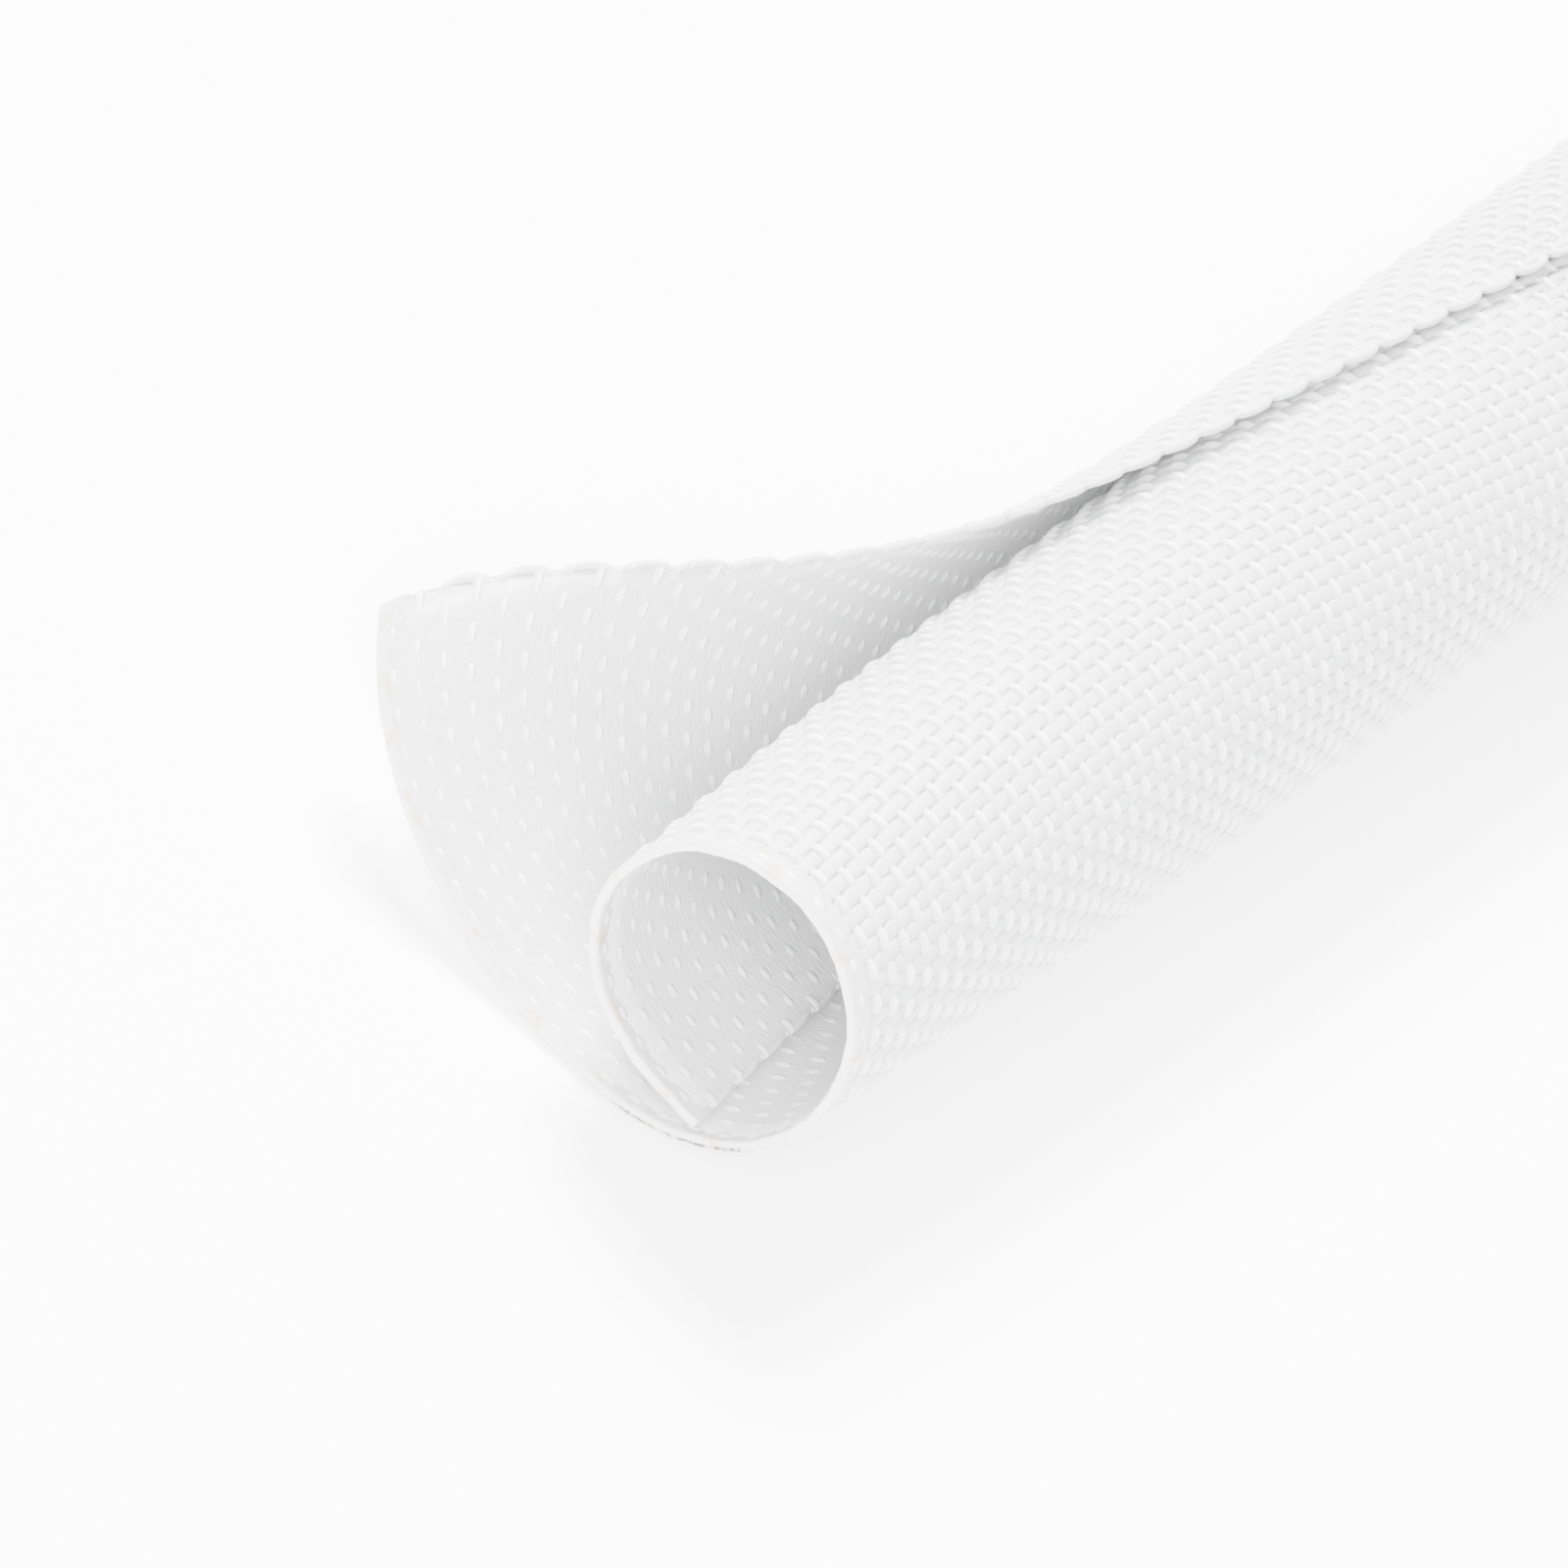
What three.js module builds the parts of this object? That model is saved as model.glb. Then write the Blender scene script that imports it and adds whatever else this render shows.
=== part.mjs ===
// Self-closing woven cable sleeve: one strip of heat-set fabric that curls round on itself.
// X runs along the sleeve, from the opened end to the closed end. Z is up, and the floor is z = 0.
// The opened flap leans out on the +Y side and touches the floor, as the sleeve comes to rest.
import * as THREE from "three";

// Real sizes, in millimetres
const LENGTH = 304.8; // one foot, the shortest length that it is sold in
const STRIP_WIDTH = 66.5; // the fabric laid flat, from one woven edge to the other
const WALL = 0.7;
const CLOSED_BORE = 14;
const LAYER_GAP = 0.2; // between the two layers where they overlap
const REST_WIDTH = 3; // how wide the underside is pressed flat by lying on the floor

// The closed curl. Angles go clockwise from the underside, looking in at the opened end.
const INNER_EDGE_NEAR_DEG = -6; // where the hidden inner edge lies at the opened end
const INNER_EDGE_FAR_DEG = 30; // and where it lies once the curl has settled
const SETTLES_FROM = 20;
const SETTLES_BY = 90;
const STEP_OUT_FROM_DEG = 235; // past the inner edge, where the wall starts to move outwards
const STEP_OUT_OVER_DEG = 120;

// The opened end
const OPEN_TUBE_RADIUS = 6.8; // of the middle of the wall, on the tube
const OPEN_FLAP_RADIUS = 25; // where the flap begins. It is straight at its edge.
const OPEN_START_DEG = -1; // the direction in which the wall leaves its inner edge
const FLAP_FROM = 35; // the distance along the strip where the tube starts to turn into the flap
const FLAP_BY = 49.3;
const TIGHT_AT = 12; // the tube is curled tighter here, on its flap side
const TIGHT_OVER = 6;
const TIGHT_BEND = 0.04; // more bend there, in radians per millimetre
const EDGE_FLAT = 9.6; // the last of the strip before its inner edge is straighter
const EDGE_UNBEND = 0.095;
const CLOSES_OVER = 17.6; // the opening has fallen to about a third at this distance from the end
const CLOSES_POWER = 1.35;
const TUBE_FROM = 0.05; // the shares of the strip's width between which it is tube everywhere
const TUBE_TO = 0.57;

// How finely the solid follows the curl
const STEP = 0.1;
const ROW_STEP = 1;
const STEEPEST = 0.35; // the least that a yarn moves along the sleeve, as a share of its own length
const TUBE_PARTS = 24;
const FLAP_PARTS = 14;
const FINE_LENGTH = 60;
const FINE_PARTS = 28;
const PLAIN_PARTS = 9;

const radians = (degrees) => (degrees * Math.PI) / 180;
const mix = (a, b, share) => a.map((value, k) => value + (b[k] - value) * share);
const minus = (a, b) => a.map((value, k) => value - b[k]);

function smooth(t) {
  const u = Math.min(1, Math.max(0, t));
  return u * u * (3 - 2 * u);
}

// The direction of the wall at each step along the strip, where the sleeve is closed
function closedHeading(innerEdge, count) {
  const start = CLOSED_BORE / 2 + WALL / 2;
  const rise = WALL + LAYER_GAP;
  const headings = [];
  let angle = innerEdge;
  for (let i = 0; i <= count; i++) {
    const t = (angle - innerEdge - radians(STEP_OUT_FROM_DEG)) / radians(STEP_OUT_OVER_DEG);
    const radius = start + rise * smooth(t);
    const u = Math.min(1, Math.max(0, t));
    const growth = (rise * 6 * u * (1 - u)) / radians(STEP_OUT_OVER_DEG);
    headings.push(angle - Math.atan2(growth, radius));
    angle += STEP / Math.hypot(radius, growth);
  }
  return headings;
}

// How sharply the wall bends at a distance along the strip, at the opened end
function openBend(along) {
  const tight = TIGHT_BEND * Math.exp(-(((along - TIGHT_AT) / TIGHT_OVER) ** 2));
  const tube = 1 / OPEN_TUBE_RADIUS + tight;
  const toEdge = Math.min(1, Math.max(0, (STRIP_WIDTH - along) / (STRIP_WIDTH - FLAP_BY)));
  const share = smooth((along - FLAP_FROM) / (FLAP_BY - FLAP_FROM));
  const edge = EDGE_UNBEND * (1 - smooth(along / EDGE_FLAT));
  return tube + (toEdge / OPEN_FLAP_RADIUS - tube) * share - edge;
}

function openHeading(count) {
  const headings = [radians(OPEN_START_DEG)];
  for (let i = 1; i <= count; i++) {
    headings.push(headings[i - 1] + openBend((i - 0.5) * STEP) * STEP);
  }
  return headings;
}

// One row across the fabric, at a distance from the opened end: a point [y, z] of the middle of
// the wall at each step. The lowest point lies on the floor, and the tube is centred on y = 0.
function row(fromEnd) {
  const count = Math.round(STRIP_WIDTH / STEP);
  const open = Math.exp(-((fromEnd / CLOSES_OVER) ** CLOSES_POWER));
  const settled = smooth((fromEnd - SETTLES_FROM) / (SETTLES_BY - SETTLES_FROM));
  const innerEdge = INNER_EDGE_NEAR_DEG + (INNER_EDGE_FAR_DEG - INNER_EDGE_NEAR_DEG) * settled;
  const closed = closedHeading(radians(innerEdge), count);
  const opened = openHeading(count);
  const heading = closed.map((h, i) => h + (opened[i] - h) * open);
  const line = [[0, 0]];
  for (let i = 1; i <= count; i++) {
    const [y, z] = line[i - 1];
    const mean = (heading[i] + heading[i - 1]) / 2;
    line.push([y + STEP * Math.cos(mean), z + STEP * Math.sin(mean)]);
  }
  const low = heading.findIndex((h) => h >= 2 * Math.PI);
  const part = (heading[low] - 2 * Math.PI) / (heading[low] - heading[low - 1]);
  const tube = line.slice(TUBE_FROM * count, TUBE_TO * count).map(([y]) => y);
  const corner = [(Math.max(...tube) + Math.min(...tube)) / 2, line[low][1] - WALL / 2];
  return { low: (low - part) * STEP, points: line.map((point) => minus(point, corner)) };
}

// The rows of the opened length. The lengthwise yarns keep their length, so where the flap swings
// out sideways, the rows before it are drawn back towards the closed end.
function fabricRows() {
  const count = Math.round(SETTLES_BY / ROW_STEP);
  const rows = Array.from({ length: count + 1 }, (_, k) => row(k * ROW_STEP));
  let x = rows[count].points.map(() => SETTLES_BY - LENGTH / 2);
  for (let k = count; k >= 0; k--) {
    const { low, points } = rows[k];
    if (k < count) {
      x = x.map((next, i) => {
        const [, y, z] = rows[k + 1].points[i];
        const side = Math.hypot(y - points[i][0], z - points[i][1]) / ROW_STEP;
        return next - ROW_STEP * Math.sqrt(Math.max(1 - side * side, STEEPEST * STEEPEST));
      });
    }
    rows[k] = { low, points: points.map(([y, z], i) => [x[i], y, z]) };
  }
  return rows;
}

const rows = fabricRows();

function onRow(points, along) {
  const place = Math.min(Math.max(along / STEP, 0), points.length - 1.000001);
  const i = Math.floor(place);
  return mix(points[i], points[i + 1], place - i);
}

// A point of the middle of the wall
function pointAt(fromEnd, along) {
  const past = Math.max(0, fromEnd - SETTLES_BY);
  const place = Math.min(Math.max(fromEnd / ROW_STEP, 0), rows.length - 1.000001);
  const k = Math.floor(place);
  const near = onRow(rows[k].points, along);
  const [x, y, z] = mix(near, onRow(rows[k + 1].points, along), place - k);
  return [x + past, y, z];
}

// From the middle of the wall to its outer face
function outward(fromEnd, along) {
  const across = minus(pointAt(fromEnd, along + STEP), pointAt(fromEnd, along - STEP));
  const lengthwise = minus(pointAt(fromEnd + ROW_STEP, along), pointAt(fromEnd - ROW_STEP, along));
  const normal = new THREE.Vector3(...across).cross(new THREE.Vector3(...lengthwise));
  return normal.setLength(WALL / 2).toArray();
}

function lowestAt(fromEnd) {
  const place = Math.min(fromEnd / ROW_STEP, rows.length - 1.000001);
  const k = Math.floor(place);
  return rows[k].low + (rows[k + 1].low - rows[k].low) * (place - k);
}

// Distances along the strip: round the tube, across the flat underside, then out to the flap's edge
function places(low) {
  const before = low - REST_WIDTH / 2;
  const after = low + REST_WIDTH / 2;
  const tube = Array.from({ length: TUBE_PARTS + 1 }, (_, i) => (before * i) / TUBE_PARTS);
  const step = (STRIP_WIDTH - after) / FLAP_PARTS;
  const flap = Array.from({ length: FLAP_PARTS + 1 }, (_, i) => after + step * i);
  return [...tube, ...flap];
}

// One ring of the wall: its outer points from the inner edge to the flap, then its inner points back
function ring(fromEnd) {
  const outer = [];
  const inner = [];
  places(lowestAt(fromEnd)).forEach((along, i) => {
    const [x, y, z] = pointAt(fromEnd, along);
    const [outX, outY, outZ] = outward(fromEnd, along);
    const flat = i === TUBE_PARTS || i === TUBE_PARTS + 1;
    outer.push(flat ? [x, y, 0] : [x + outX, y + outY, z + outZ]);
    inner.push(flat ? [x, y, WALL] : [x - outX, y - outY, z - outZ]);
  });
  return [...outer, ...inner.reverse()];
}

function stations() {
  const fine = Array.from({ length: FINE_PARTS }, (_, i) => (FINE_LENGTH * i) / FINE_PARTS);
  const rest = (LENGTH - FINE_LENGTH) / PLAIN_PARTS;
  const plain = Array.from({ length: PLAIN_PARTS + 1 }, (_, i) => FINE_LENGTH + rest * i);
  return [...fine, ...plain];
}

function sleeveGeometry() {
  const rings = stations().map(ring);
  const size = rings[0].length;
  const faces = [];
  for (let r = 0; r + 1 < rings.length; r++) {
    for (let i = 0; i < size; i++) {
      const j = (i + 1) % size;
      const a = r * size + i;
      const b = r * size + j;
      faces.push(a, b, a + size, b, b + size, a + size);
    }
  }
  const last = (rings.length - 1) * size;
  for (let i = 0; i + 1 < size / 2; i++) {
    const j = size - 1 - i;
    faces.push(i, j, i + 1, i + 1, j, j - 1);
    faces.push(last + i, last + i + 1, last + j, last + i + 1, last + j - 1, last + j);
  }
  const geometry = new THREE.BufferGeometry();
  geometry.setAttribute("position", new THREE.Float32BufferAttribute(rings.flat(2), 3));
  geometry.setIndex(faces);
  geometry.computeVertexNormals();
  return geometry;
}

const fabric = new THREE.MeshStandardMaterial({ color: 0xe9e9e7, roughness: 0.75, metalness: 0 });
const sleeve = new THREE.Mesh(sleeveGeometry(), fabric);
sleeve.name = "woven_sleeve";

const object = new THREE.Group();
object.name = "braided_cable_sleeve";
object.add(sleeve);

export default object;
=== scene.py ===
# %% [markdown]
# # A self-closing woven cable sleeve
#
# The sleeve is one strip of white polyester fabric. Heat has set it into a curl of about one
# and a half turns, so that it wraps itself round a bundle of cables. In this lesson the fabric
# is built as what it is: cross yarns and lengthwise yarns that pass over and under each other.
#
# Everything is in metres, in the same frame as the CAD model: X runs along the sleeve, Z is up,
# and the floor is at z = 0.

# %% Load the CAD model as the frame
import math

import bpy
import numpy as np
from mathutils import Matrix, Vector


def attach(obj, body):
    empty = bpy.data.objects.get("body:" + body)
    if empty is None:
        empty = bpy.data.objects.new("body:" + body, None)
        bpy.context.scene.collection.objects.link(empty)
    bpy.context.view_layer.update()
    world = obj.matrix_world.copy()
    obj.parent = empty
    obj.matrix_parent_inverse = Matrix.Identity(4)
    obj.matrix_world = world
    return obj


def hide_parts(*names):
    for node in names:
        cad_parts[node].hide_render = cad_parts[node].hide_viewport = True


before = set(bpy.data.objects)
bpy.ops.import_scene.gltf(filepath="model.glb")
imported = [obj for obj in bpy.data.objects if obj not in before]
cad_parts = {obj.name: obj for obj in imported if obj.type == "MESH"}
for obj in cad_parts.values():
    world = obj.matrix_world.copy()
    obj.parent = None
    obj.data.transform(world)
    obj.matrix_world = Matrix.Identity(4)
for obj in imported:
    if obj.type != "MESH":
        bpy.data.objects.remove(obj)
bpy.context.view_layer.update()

MM = 0.001

# %% [markdown]
# ## The camera
#
# The photograph looks almost along the sleeve, from above, with a long lens that is turned
# about its own line of sight. A camera is described by three directions (right, up and
# forward), by one point that it sees at a known place in the picture, and by how much of the
# scene fits across the picture at that point. From these its place follows by arithmetic,
# which is surer than moving it by hand.

# %% Place the camera
PICTURE = 1600  # the photograph is this many pixels wide and high
SEEN_POINT = Vector((-152.4, 0.05, 7.6)) * MM  # the middle of the tube's opened end
SEEN_AT = (720, 1027)  # where the photograph shows it, in pixels
VIEW_WIDTH = 65.78 * MM  # what fits across the picture at that distance
DISTANCE = 1613 * MM
SENSOR = 36.0

forward = Vector((0.8158, 0.1261, -0.5644)).normalized()
right = Vector((0.4695, -0.7143, 0.5190))
right = (right - forward * right.dot(forward)).normalized()
up = right.cross(forward)

per_pixel = VIEW_WIDTH / PICTURE
sideways = (SEEN_AT[0] - PICTURE / 2) * per_pixel
upwards = (PICTURE / 2 - SEEN_AT[1]) * per_pixel
eye = SEEN_POINT - right * sideways - up * upwards - forward * DISTANCE

camera_data = bpy.data.cameras.new("camera")
camera_data.sensor_width = SENSOR
camera_data.lens = SENSOR * DISTANCE / VIEW_WIDTH
camera_data.clip_start = 0.01
camera_data.clip_end = 20
camera = bpy.data.objects.new("camera", camera_data)
turn = Matrix((right, up, -forward)).transposed().to_4x4()
camera.matrix_world = Matrix.Translation(eye) @ turn
bpy.context.scene.collection.objects.link(camera)
bpy.context.scene.camera = camera
print("lens", round(camera_data.lens), "mm, camera at", [round(v, 3) for v in eye])

# %% [markdown]
# ## The curl that the fabric follows
#
# The strip keeps its width, so the section of the sleeve is drawn by walking along the strip
# and turning a little at each step. Two walks are known: one for the closed sleeve, and one for
# the opened end, where the outer part is bent back as a flap. Every section in between is a mix
# of the two. The lengthwise yarns keep their length as well, so the flap's end is drawn back.

# %% Sizes of the strip and its two curls, in millimetres
LENGTH = 304.8
STRIP_WIDTH = 66.5
WALL = 0.7
CLOSED_BORE = 14
LAYER_GAP = 0.2
INNER_EDGE_NEAR = math.radians(-6)
INNER_EDGE_FAR = math.radians(30)
SETTLES_FROM, SETTLES_BY = 20, 90
STEP_OUT_FROM, STEP_OUT_OVER = math.radians(235), math.radians(120)
OPEN_TUBE_RADIUS, OPEN_FLAP_RADIUS = 6.8, 25
OPEN_START = math.radians(-1)
FLAP_FROM, FLAP_BY = 35, 49.3
TIGHT_AT, TIGHT_OVER, TIGHT_BEND = 12, 6, 0.04
EDGE_FLAT, EDGE_UNBEND = 9.6, 0.095
CLOSES_OVER, CLOSES_POWER = 17.6, 1.35
TUBE_FROM, TUBE_TO = 0.05, 0.57
STEP = 0.1
STEEPEST = 0.35
LENGTHWISE_YARNS = 89
CROSS_YARNS = 226
MARGIN = 1.0  # the guide goes on for this much past each edge of the strip


def smooth(t):
    t = np.clip(t, 0, 1)
    return t * t * (3 - 2 * t)


# %% Walk along the closed curl and along the opened one
WALK_FROM, WALK_TO, WALK_POINTS = -0.5, 11, 4000  # radians, a little more than the whole curl


def closed_walk(along):
    """The direction of the wall, where the inner edge lies at angle 0."""
    start = CLOSED_BORE / 2 + WALL / 2
    rise = WALL + LAYER_GAP
    angle = np.linspace(WALK_FROM, WALK_TO, WALK_POINTS)
    t = np.clip((angle - STEP_OUT_FROM) / STEP_OUT_OVER, 0, 1)
    radius = start + rise * smooth(t)
    growth = rise * 6 * t * (1 - t) / STEP_OUT_OVER
    speed = np.hypot(radius, growth)
    walked = np.concatenate([[0], np.cumsum((speed[1:] + speed[:-1]) / 2 * np.diff(angle))])
    walked -= np.interp(0, angle, walked)
    return np.interp(along, walked, angle - np.arctan2(growth, radius))


def opened_walk(along):
    tube = 1 / OPEN_TUBE_RADIUS + TIGHT_BEND * np.exp(-(((along - TIGHT_AT) / TIGHT_OVER) ** 2))
    to_edge = np.clip((STRIP_WIDTH - along) / (STRIP_WIDTH - FLAP_BY), 0, 1)
    share = smooth((along - FLAP_FROM) / (FLAP_BY - FLAP_FROM))
    edge = EDGE_UNBEND * (1 - smooth(along / EDGE_FLAT))
    bend = tube + (to_edge / OPEN_FLAP_RADIUS - tube) * share - edge
    turned = np.concatenate([[0], np.cumsum((bend[1:] + bend[:-1]) / 2 * np.diff(along))])
    return OPEN_START + turned - np.interp(0, along, turned)


# %% Mix the two walks into the fabric's middle surface
def fabric_surface():
    """Distances along the strip and from the opened end, and a grid of points in millimetres."""
    steps = round((STRIP_WIDTH + 2 * MARGIN) / STEP)
    along = np.linspace(-MARGIN, STRIP_WIDTH + MARGIN, steps + 1)
    from_end = np.arange(0, SETTLES_BY + 1.0)
    opened = np.exp(-((from_end / CLOSES_OVER) ** CLOSES_POWER))[:, None]
    settled = smooth((from_end - SETTLES_FROM) / (SETTLES_BY - SETTLES_FROM))[:, None]
    inner_edge = INNER_EDGE_NEAR + (INNER_EDGE_FAR - INNER_EDGE_NEAR) * settled
    closed = inner_edge + closed_walk(along)[None]
    heading = closed + (opened_walk(along)[None] - closed) * opened
    mean = (heading[:, 1:] + heading[:, :-1]) / 2
    y = np.pad(np.cumsum(np.cos(mean) * STEP, 1), ((0, 0), (1, 0)))
    z = np.pad(np.cumsum(np.sin(mean) * STEP, 1), ((0, 0), (1, 0)))
    tube = (along >= TUBE_FROM * STRIP_WIDTH) & (along < TUBE_TO * STRIP_WIDTH)
    y -= (y[:, tube].max(1, keepdims=True) + y[:, tube].min(1, keepdims=True)) / 2
    low = (heading >= 2 * math.pi).argmax(1)
    z += WALL / 2 - z[np.arange(len(z)), low][:, None]
    sideways_step = np.hypot(np.diff(y, axis=0), np.diff(z, axis=0))
    advance = np.sqrt(np.maximum(1 - sideways_step**2, STEEPEST**2))
    x = np.full_like(y, SETTLES_BY - LENGTH / 2)
    x[:-1] -= np.cumsum(advance[::-1], 0)[::-1]
    return along, from_end, np.stack([x, y, z], 2)


along, from_end, surface = fabric_surface()
print("rows", len(from_end), "steps", len(along))

# %% Finish the surface at both ends, and thin it out
FAR_STEP = 4.0
KEEP_EVERY = 5  # of the steps along the strip, which are finer than the guide has to be
before = 2 * surface[:1] - surface[1:2]
far_from_end = np.linspace(SETTLES_BY, LENGTH + MARGIN, round((LENGTH - SETTLES_BY) / FAR_STEP))[1:]
far = np.repeat(surface[-1:], len(far_from_end), 0)
far[..., 0] += (far_from_end - SETTLES_BY)[:, None]
surface = np.concatenate([before, surface, far])[:, ::KEEP_EVERY]
along = along[::KEEP_EVERY]
from_end = np.concatenate([[-MARGIN], from_end, far_from_end])
along_slope = np.gradient(surface, along, axis=1)
end_slope = np.gradient(surface, from_end, axis=0)
outward = np.cross(along_slope, end_slope)
outward /= np.linalg.norm(outward, axis=2, keepdims=True)
print("guide grid", surface.shape[:2])


# %% [markdown]
# The surface becomes a guide mesh. Its UV map says how far each point is along the strip and
# from the opened end, and an attribute says which way is outwards. Geometry Nodes can then bend
# anything that is woven flat onto the sleeve: it looks up the flat place in the UV map.

# %% Make the guide mesh
def grid_faces(rows, columns):
    i = np.arange((rows - 1) * columns).reshape(rows - 1, columns)[:, :-1]
    return np.stack([i, i + 1, i + 1 + columns, i + columns], 2).reshape(-1, 4)


def guide_mesh():
    mesh = bpy.data.meshes.new("guide")
    points = (surface.reshape(-1, 3) * MM).tolist()
    mesh.from_pydata(points, [], grid_faces(*surface.shape[:2]).tolist())
    flat = np.stack(np.meshgrid(along + MARGIN, from_end + MARGIN), 2).reshape(-1, 2)
    flat /= (STRIP_WIDTH + 2 * MARGIN, LENGTH + 2 * MARGIN)
    loops = np.zeros(len(mesh.loops), np.int32)
    mesh.loops.foreach_get("vertex_index", loops)
    mesh.uv_layers.new(name="strip").data.foreach_set("uv", flat[loops].ravel().astype(np.float32))
    normal = mesh.attributes.new("outward", "FLOAT_VECTOR", "POINT")
    normal.data.foreach_set("vector", outward.reshape(-1).astype(np.float32))
    return mesh


guide = guide_mesh()
print("guide mesh", len(guide.vertices), "points")


# %% [markdown]
# ## Helpers for node trees
#
# Every tree here is built with the same few helpers, so that the cells show what is wired to
# what and little else.

# %% Helpers
def add(tree, kind, inputs=(), **settings):
    node = tree.nodes.new(kind)
    for name, value in settings.items():
        setattr(node, name, value)
    for key, value in dict(inputs).items():
        if isinstance(value, bpy.types.NodeSocket):
            tree.links.new(value, node.inputs[key])
        else:
            node.inputs[key].default_value = value
    return node


def maths(tree, operation, *values):
    return add(tree, "ShaderNodeMath", enumerate(values), operation=operation).outputs[0]


def signed_power(tree, value, power):
    size = maths(tree, "POWER", maths(tree, "ABSOLUTE", value), power)
    return maths(tree, "MULTIPLY", maths(tree, "SIGN", value), size)


def ramp(tree, value, start, stop, low=0.0, high=1.0):
    """From low to high while the value goes from start to stop, and level outside that."""
    ends = {"From Min": start, "From Max": stop, "To Min": low, "To Max": high}
    return add(tree, "ShaderNodeMapRange", {"Value": value, **ends}).outputs[0]


def vector(tree, x=0.0, y=0.0, z=0.0):
    return add(tree, "ShaderNodeCombineXYZ", {"X": x, "Y": y, "Z": z}).outputs[0]


def named_inputs(tree, sockets):
    for name, kind, value in sockets:
        socket = tree.interface.new_socket(name, in_out="INPUT", socket_type=kind)
        if value is not None:
            socket.default_value = value
    return tree.nodes.new("NodeGroupInput").outputs


# %% [markdown]
# ## The yarns
#
# The fabric is a plain weave: each cross yarn goes over one lengthwise yarn and under the next,
# and its neighbour does the opposite. The height of a yarn is then a product of two waves, one
# along the yarn and one from yarn to yarn.
#
# A yarn is drawn as a curve with a flattened profile, it is repeated at its pitch, it gets its
# wave, and the whole flat weave is bent onto the guide. A picture of a weave would be quicker,
# but real yarns catch the light on their crowns and leave small gaps in shadow, and they show
# at the edges too.

# %% Bend flat geometry onto the guide
def bend_onto_guide(tree, guide_geometry, flat_geometry, place, height):
    """place is the distance along the strip and from the opened end, height is above the fabric."""
    margin = MARGIN * MM
    scale = (1 / ((STRIP_WIDTH + 2 * MARGIN) * MM), 1 / ((LENGTH + 2 * MARGIN) * MM), 0)
    moved = add(tree, "ShaderNodeVectorMath", {0: place, 1: (margin, margin, 0)}, operation="ADD")
    lookup = add(tree, "ShaderNodeVectorMath", {0: moved.outputs[0], 1: scale}, operation="MULTIPLY")
    strip = add(tree, "GeometryNodeInputNamedAttribute", {"Name": "strip"}, data_type="FLOAT_VECTOR")
    facing = add(tree, "GeometryNodeInputNamedAttribute", {"Name": "outward"}, data_type="FLOAT_VECTOR")
    found = []
    for value in (tree.nodes.new("GeometryNodeInputPosition").outputs[0], facing.outputs[0]):
        sample = add(tree, "GeometryNodeSampleUVSurface", data_type="FLOAT_VECTOR")
        for socket, source in zip(
            sample.inputs, (guide_geometry, value, strip.outputs[0], lookup.outputs[0])
        ):
            tree.links.new(source, socket)
        found.append(sample.outputs[0])
    away = add(tree, "ShaderNodeVectorMath", {0: found[1]}, operation="NORMALIZE")
    rise = add(tree, "ShaderNodeVectorMath", {0: away.outputs[0], "Scale": height}, operation="SCALE")
    point = add(tree, "ShaderNodeVectorMath", {0: found[0], 1: rise.outputs[0]}, operation="ADD")
    return add(
        tree, "GeometryNodeSetPosition", {"Geometry": flat_geometry, "Position": point.outputs[0]}
    ).outputs[0]


# %% Note where each point was while it lay flat, and give curves a flattened profile
def note_flat(tree, geometry):
    flat = tree.nodes.new("GeometryNodeInputPosition").outputs[0]
    in_mm = add(tree, "ShaderNodeVectorMath", {0: flat, "Scale": 1 / MM}, operation="SCALE")
    return add(
        tree,
        "GeometryNodeStoreNamedAttribute",
        {"Geometry": geometry, "Name": "flat", "Value": in_mm.outputs[0]},
        data_type="FLOAT_VECTOR",
        domain="POINT",
    ).outputs[0]


def swept(tree, curves, given):
    curves = add(tree, "GeometryNodeSetCurveNormal", {"Curve": curves}).outputs[0]
    ring = add(
        tree, "GeometryNodeCurvePrimitiveCircle", {"Resolution": given["Sides"], "Radius": 0.5}
    )
    oval = vector(tree, given["Yarn Width"], given["Yarn Thickness"], 1)
    profile = add(tree, "GeometryNodeTransform", {"Geometry": ring.outputs[0], "Scale": oval})
    solid = add(
        tree,
        "GeometryNodeCurveToMesh",
        {"Curve": curves, "Profile Curve": profile.outputs[0], "Fill Caps": True},
    ).outputs[0]
    return note_flat(tree, solid)


# %% Bend the swept yarns onto the guide and finish the tree
def finish_on_guide(tree, given, flat_geometry, lengthwise=False):
    kept = add(tree, "GeometryNodeInputNamedAttribute", {"Name": "flat"}, data_type="FLOAT_VECTOR")
    kept = add(tree, "ShaderNodeVectorMath", {0: kept.outputs[0], "Scale": MM}, operation="SCALE")
    a, b, height = add(tree, "ShaderNodeSeparateXYZ", {0: kept.outputs[0]}).outputs
    place = add(
        tree,
        "GeometryNodeSwitch",
        {"Switch": lengthwise, "False": vector(tree, a, b), "True": vector(tree, b, a)},
        input_type="VECTOR",
    ).outputs[0]
    bent = bend_onto_guide(tree, given["Geometry"], flat_geometry, place, height)
    shaded = add(tree, "GeometryNodeSetShadeSmooth", {"Geometry": bent}).outputs[0]
    real = add(tree, "GeometryNodeRealizeInstances", {"Geometry": shaded}).outputs[0]
    done = add(tree, "GeometryNodeSetMaterial", {"Geometry": real, "Material": given["Fabric"]})
    tree.interface.new_socket("Geometry", in_out="OUTPUT", socket_type="NodeSocketGeometry")
    tree.links.new(done.outputs[0], tree.nodes.new("NodeGroupOutput").inputs[0])


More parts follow.
